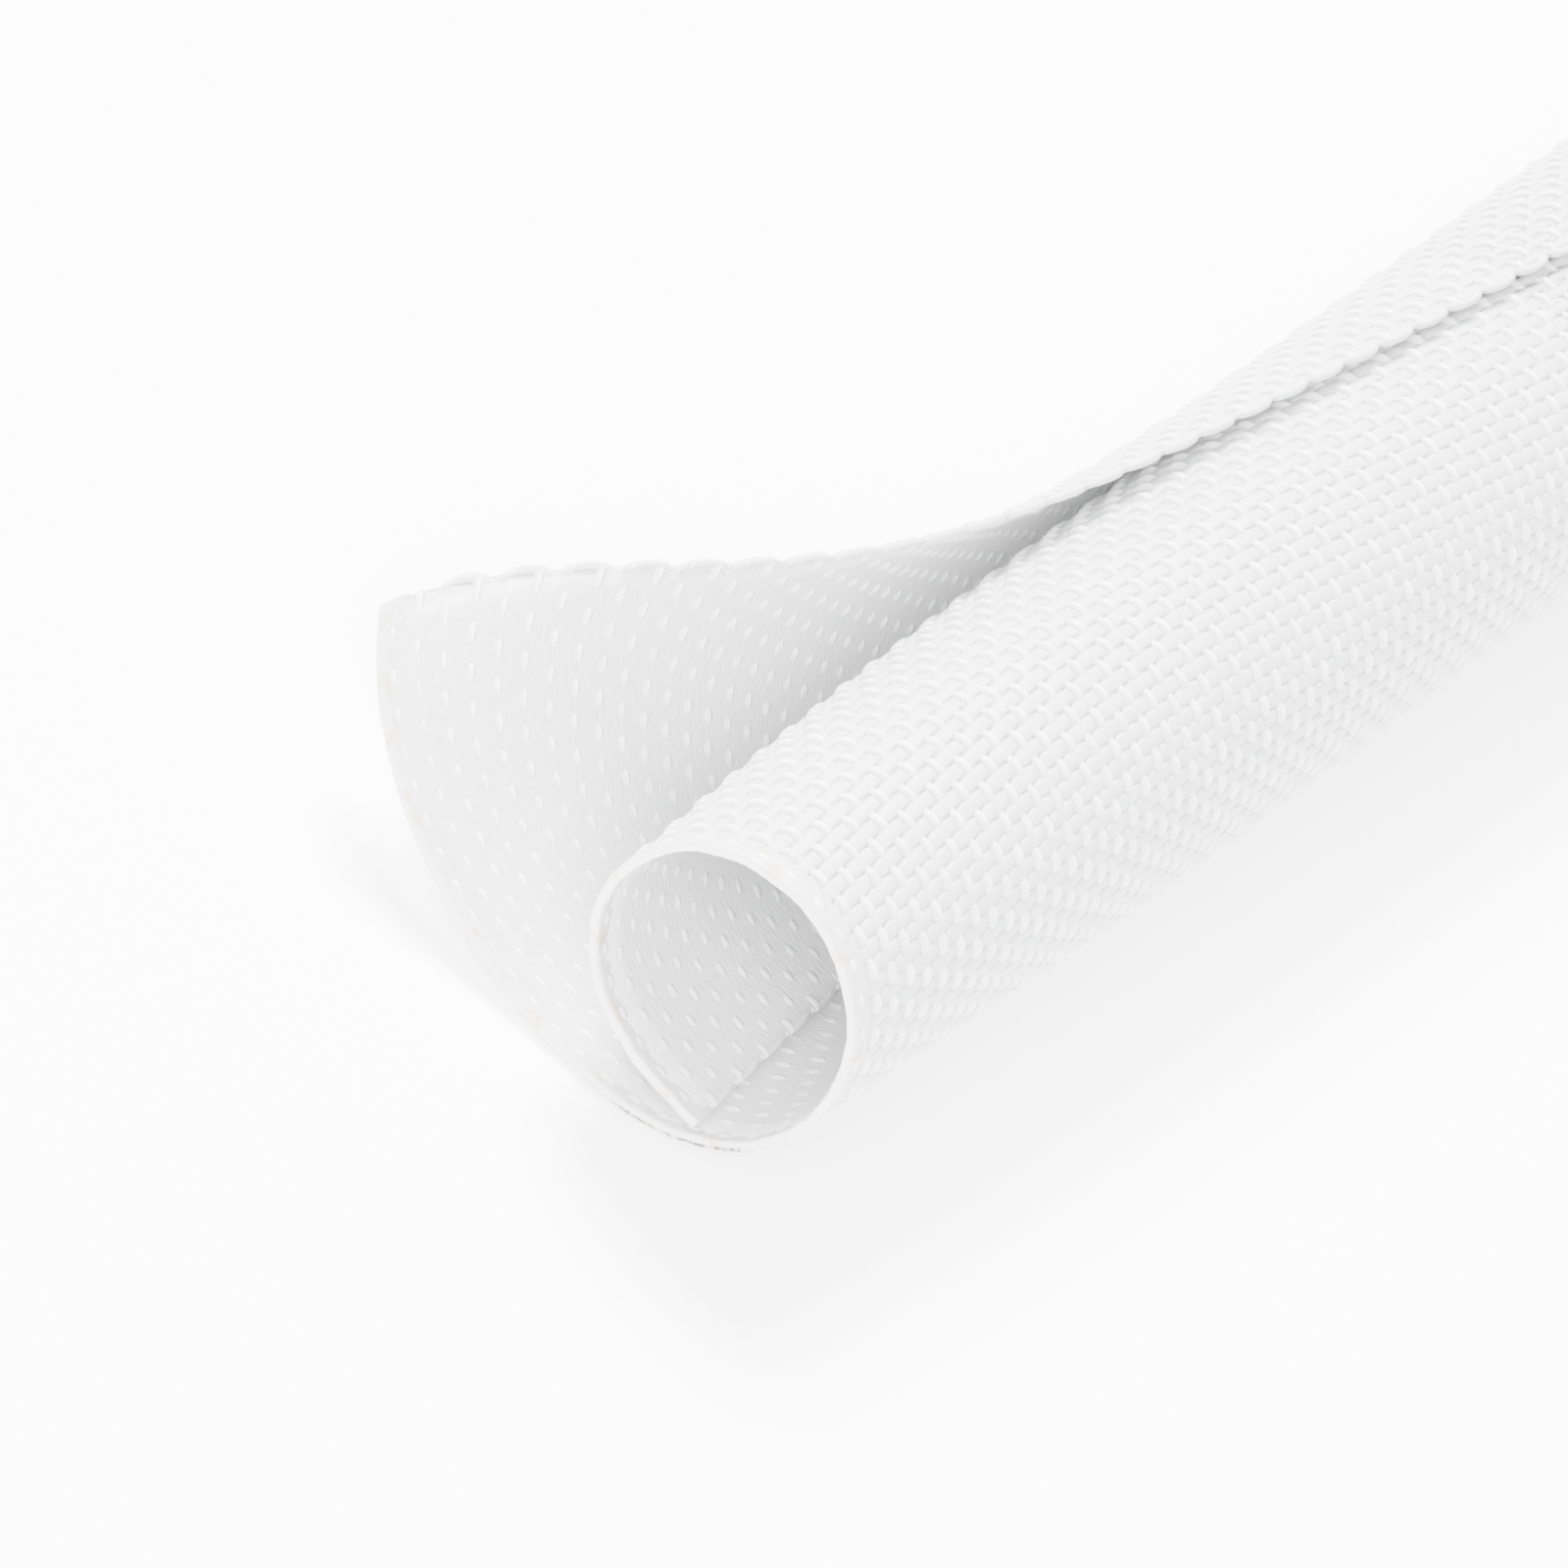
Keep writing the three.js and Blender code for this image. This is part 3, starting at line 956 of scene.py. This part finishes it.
band_finish = yarn_material(
    "melted_edge",
    across=6,
    along=0.7,
    bump=0.05,
    highlight_and_grain=(0.68, 0.66, 0.655),
    shade=(0.6, 0.58, 0.575),
    sheen=0.0,
)
nodes = band_finish.node_tree
scorch_and_shadow = add(nodes, "ShaderNodeGroup", node_tree=scorch_and_shadow_group())
base = nodes.nodes["Principled BSDF"].inputs["Base Color"]
nodes.links.new(base.links[0].from_socket, scorch_and_shadow.inputs[0])
nodes.links.new(scorch_and_shadow.outputs[0], base)


OVERHANG = 0.1  # past each edge of the strip


def melted_band(name, middle, width, sections, taper):
    return grown(
        name,
        bands,
        {
            "Run Start": -OVERHANG * MM,
            "Run Length": (STRIP_WIDTH + 2 * OVERHANG) * MM,
            "Sections": sections,
            "Middle": middle * MM,
            "Band Width": width * MM,
            "Thickness": 0.56 * MM,
            "Taper": taper,
            "Sides": 18,
            "Seed": 9.0,
            "Fabric": band_finish,
        },
    )


BAND_MIDDLE = 0.75  # from the cut
BAND_WIDTH = 1.6
BAND_TAPER = 0.5  # how much thinner it is on the fabric's side

pieces += [
    melted_band("melted_opened_end", BAND_MIDDLE, BAND_WIDTH, 600, -BAND_TAPER),
    melted_band("melted_far_end", LENGTH - BAND_MIDDLE, BAND_WIDTH, 200, BAND_TAPER),
]

# %% [markdown]
# ## The body of the fabric
#
# Loose fibres fill the room between the yarns, so no light passes straight through. A thin sheet
# stands for them, because thousands of loose fibres would cost far more than they show. It fills
# the wall up to the crowns of the yarns, which only just come through it, so the fabric looks
# felted and its gaps stay shallow. It has the flat size of the strip but for a narrow inset.

# %% The sheet between the yarns
INSET = 0.2
FIBRES_AT = -0.08  # the height of its middle in the wall
FIBRES_THICKNESS = 0.23


def fibre_sheet():
    tree = bpy.data.node_groups.new("sheet between the yarns", "GeometryNodeTree")
    given = named_inputs(
        tree,
        [
            ("Geometry", "NodeSocketGeometry", None),
            ("Across Points", "NodeSocketInt", 96),
            ("Along Points", "NodeSocketInt", 160),
            ("Fabric", "NodeSocketMaterial", None),
        ],
    )
    size = ((STRIP_WIDTH - 2 * INSET) * MM, (LENGTH - 2 * INSET) * MM)
    grid = add(
        tree,
        "GeometryNodeMeshGrid",
        {
            "Size X": size[0],
            "Size Y": size[1],
            "Vertices X": given["Across Points"],
            "Vertices Y": given["Along Points"],
        },
    ).outputs[0]
    middle = (STRIP_WIDTH / 2 * MM, LENGTH / 2 * MM, FIBRES_AT * MM)
    grid = add(tree, "GeometryNodeTransform", {"Geometry": grid, "Translation": middle}).outputs[0]
    finish_on_guide(tree, given, note_flat(tree, grid))
    return tree


sheet = grown(
    "fibres_between_yarns",
    fibre_sheet(),
    {"Across Points": 80, "Along Points": 130, "Fabric": fibre_finish},
)
wall = sheet.modifiers.new("thickness", "SOLIDIFY")
wall.thickness = FIBRES_THICKNESS * MM
wall.offset = 0
print("sheet", len(sheet.data.polygons), "faces before it gets its thickness")

# %% [markdown]
# ## The floor and the light
#
# The photograph is taken on white, in light that comes from everywhere and a little more from
# behind and from the left. A fill from the front keeps the bore from going dark. The photograph's
# floor is burnt out to pure white, so the floor here also glows a little by itself.

# %% Floor
floor_mesh = bpy.data.meshes.new("floor")
FLOOR = 4.0
floor_mesh.from_pydata(
    [(-FLOOR, -FLOOR, 0), (FLOOR, -FLOOR, 0), (FLOOR, FLOOR, 0), (-FLOOR, FLOOR, 0)], [], [(0, 1, 2, 3)]
)
floor = bpy.data.objects.new("floor", floor_mesh)
bpy.context.scene.collection.objects.link(floor)
floor_finish = bpy.data.materials.new("white_paper")
floor_finish.use_nodes = True
floor_shader = floor_finish.node_tree.nodes["Principled BSDF"]
floor_shader.inputs["Base Color"].default_value = (0.94, 0.94, 0.95, 1)
floor_shader.inputs["Roughness"].default_value = 0.9
floor_shader.inputs["Specular IOR Level"].default_value = 0.1
floor_shader.inputs["Emission Color"].default_value = (1, 1, 1, 1)
floor_shader.inputs["Emission Strength"].default_value = 1.8
floor_mesh.materials.append(floor_finish)

# %% Light
world = bpy.data.worlds.new("studio")
bpy.context.scene.world = world
world.use_nodes = True
background = world.node_tree.nodes["Background"]
background.inputs["Color"].default_value = (0.95, 0.97, 1, 1)
background.inputs["Strength"].default_value = 2.7


def softbox(name, place, size, power):
    data = bpy.data.lights.new(name, "AREA")
    data.energy = power
    data.size = size
    light = bpy.data.objects.new(name, data)
    light.location = place
    light.rotation_euler = (-Vector(place)).to_track_quat("-Z", "Y").to_euler()
    bpy.context.scene.collection.objects.link(light)


softbox("key", place=(0.5, 0.8, 1.2), size=0.7, power=200)
softbox("fill", place=(-1.3, -0.2, 0.8), size=0.8, power=105)
print("lights", len(bpy.data.lights))

# %% [markdown]
# ## Tie the pieces to the part

# %% Tie every piece to the part
for piece in [sheet, *pieces]:
    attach(piece, "root")
    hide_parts("woven_sleeve")
